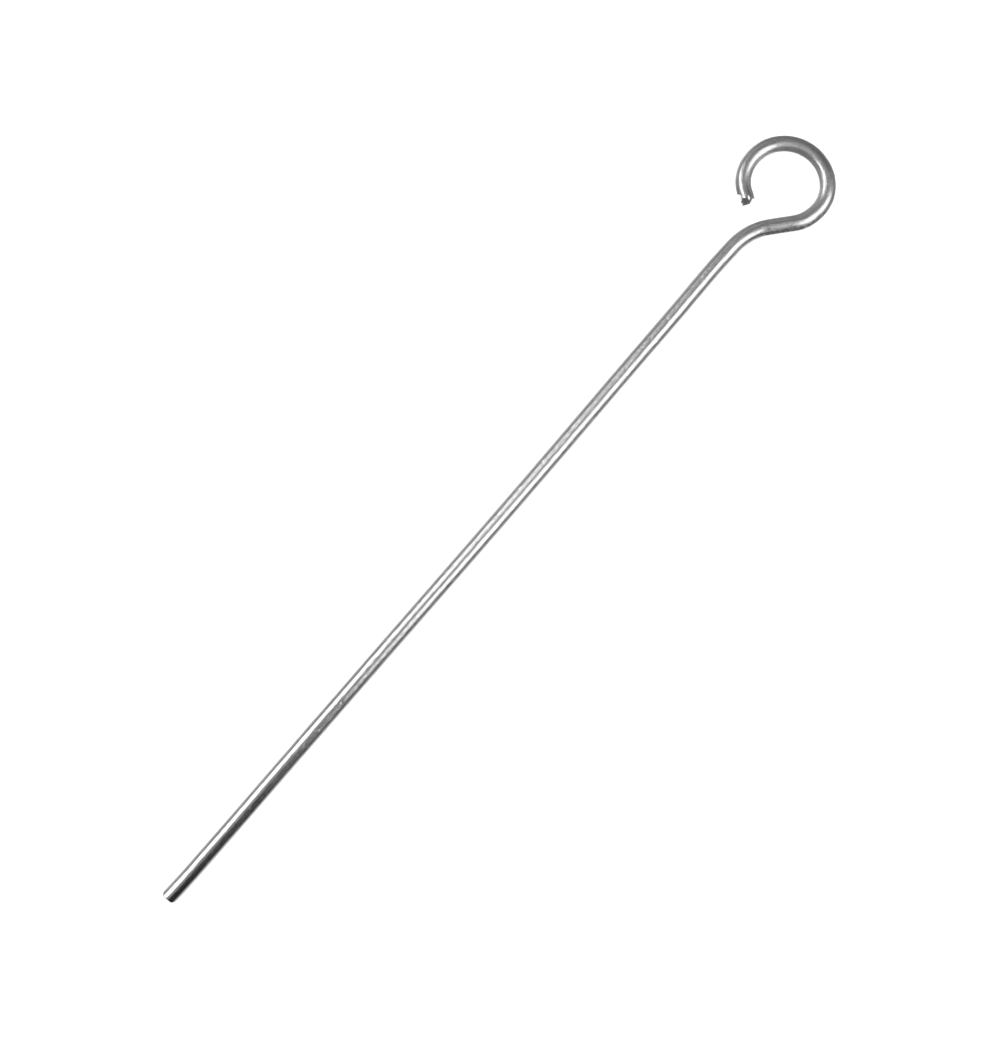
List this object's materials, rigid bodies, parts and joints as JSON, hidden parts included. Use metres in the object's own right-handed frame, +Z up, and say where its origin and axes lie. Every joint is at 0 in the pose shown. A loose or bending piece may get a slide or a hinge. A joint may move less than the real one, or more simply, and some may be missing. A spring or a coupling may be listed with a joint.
{
  "type": "blind tilt wire",
  "caption": "Bright steel wire with a long straight shank and, past a bent neck, an open round eye in line with the shank, for linking or hanging a tilt mechanism.",
  "frame": {"origin": "centre of the eye, which is the centre of its crown, on the shank's axis and halfway through the wire", "axes": "+X along the shank from its foot towards the eye, +Y in the flat of the wire towards the cut tip of the eye, +Z up, square to the flat of the wire as it lies"},
  "size_m": [0.1272, 0.0128, 0.002],
  "materials": {
    "wire_steel": "bright drawn steel with fine lines along the wire, dull torn metal at the cut ends"
  },
  "bodies": {
    "root": {"tilt_wire": "wire_steel"}
  },
  "joints": []
}
